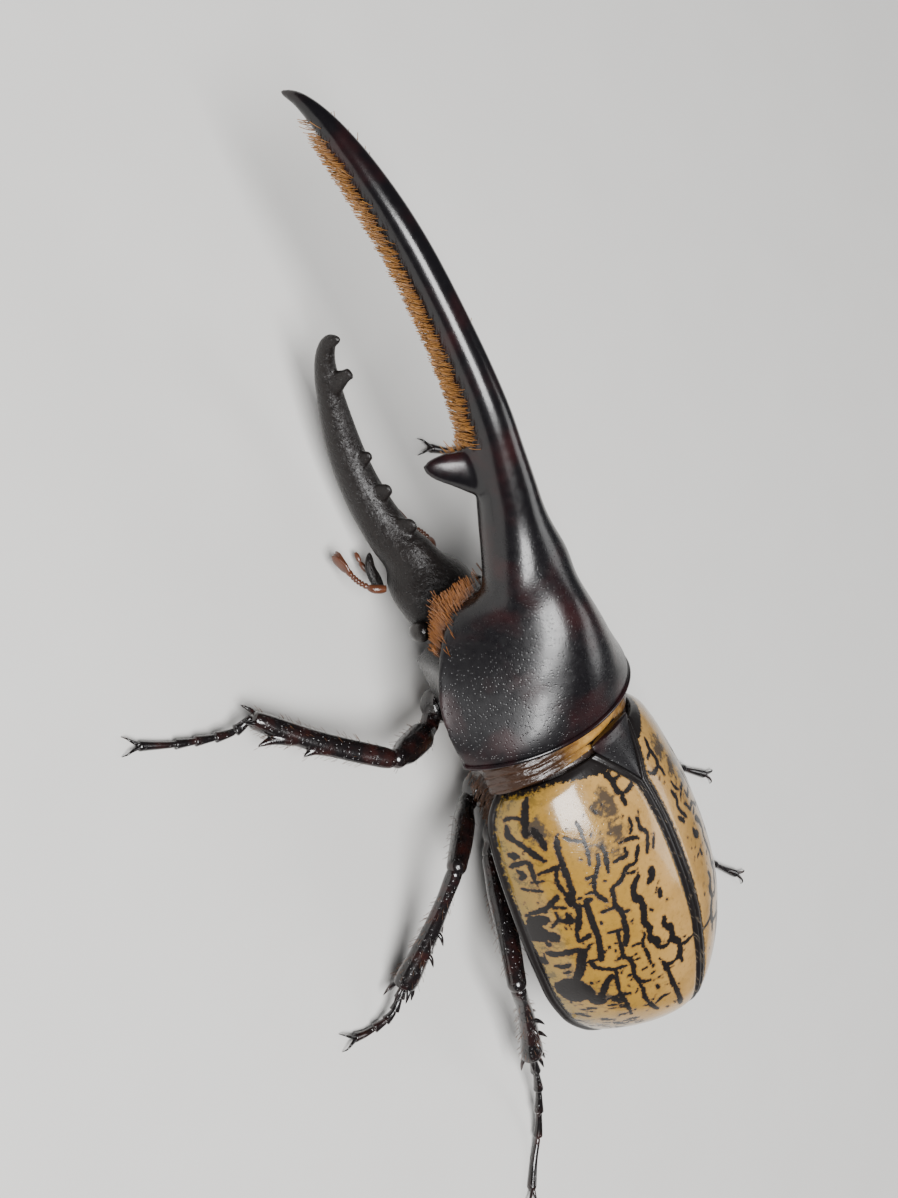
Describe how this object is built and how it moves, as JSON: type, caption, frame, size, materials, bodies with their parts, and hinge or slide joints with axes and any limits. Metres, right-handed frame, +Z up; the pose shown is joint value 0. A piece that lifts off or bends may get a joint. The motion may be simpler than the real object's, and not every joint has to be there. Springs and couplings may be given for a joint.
{
  "type": "hercules beetle model",
  "caption": "Life-size still model of a male hercules beetle standing on its feet, with a long thoracic horn over a toothed head horn and mottled tan wing covers.",
  "frame": {"origin": "middle of the box round the whole beetle, at the level of the floor under its feet", "axes": "+Z up; the head and both horns point to -Y; the beetle's left side is +X"},
  "size_m": [0.115, 0.186, 0.0443],
  "materials": {
    "black_shell": "gloss",
    "dull_black_horn": "semi-matt",
    "tan_wing_cover": "gloss",
    "golden_collar": "satin",
    "black_underside": "satin",
    "dark_eye": "gloss",
    "red_black_leg": "gloss",
    "brown_feeler": "satin"
  },
  "bodies": {
    "root": {"pronotum": "black_shell", "thoracic_horn": "black_shell", "scutellum": "black_shell", "head": "dull_black_horn", "cephalic_horn": "dull_black_horn", "mandible_left": "dull_black_horn", "mandible_right": "dull_black_horn", "wing_cover_left": "tan_wing_cover", "wing_cover_right": "tan_wing_cover", "collar": "golden_collar", "rear_thorax": "black_underside", "abdomen": "black_underside", "pygidium": "black_underside", "eye_left": "dark_eye", "eye_right": "dark_eye", "coxa_left_fore": "red_black_leg", "femur_left_fore": "red_black_leg", "tibia_left_fore": "red_black_leg", "tarsus_left_fore": "red_black_leg", "coxa_left_mid": "red_black_leg", "femur_left_mid": "red_black_leg", "tibia_left_mid": "red_black_leg", "tarsus_left_mid": "red_black_leg", "coxa_left_hind": "red_black_leg", "femur_left_hind": "red_black_leg", "tibia_left_hind": "red_black_leg", "tarsus_left_hind": "red_black_leg", "coxa_right_fore": "red_black_leg", "femur_right_fore": "red_black_leg", "tibia_right_fore": "red_black_leg", "tarsus_right_fore": "red_black_leg", "coxa_right_mid": "red_black_leg", "femur_right_mid": "red_black_leg", "tibia_right_mid": "red_black_leg", "tarsus_right_mid": "red_black_leg", "coxa_right_hind": "red_black_leg", "femur_right_hind": "red_black_leg", "tibia_right_hind": "red_black_leg", "tarsus_right_hind": "red_black_leg", "antenna_left": "brown_feeler", "antenna_right": "brown_feeler", "palp_left": "brown_feeler", "palp_right": "brown_feeler"}
  },
  "joints": []
}
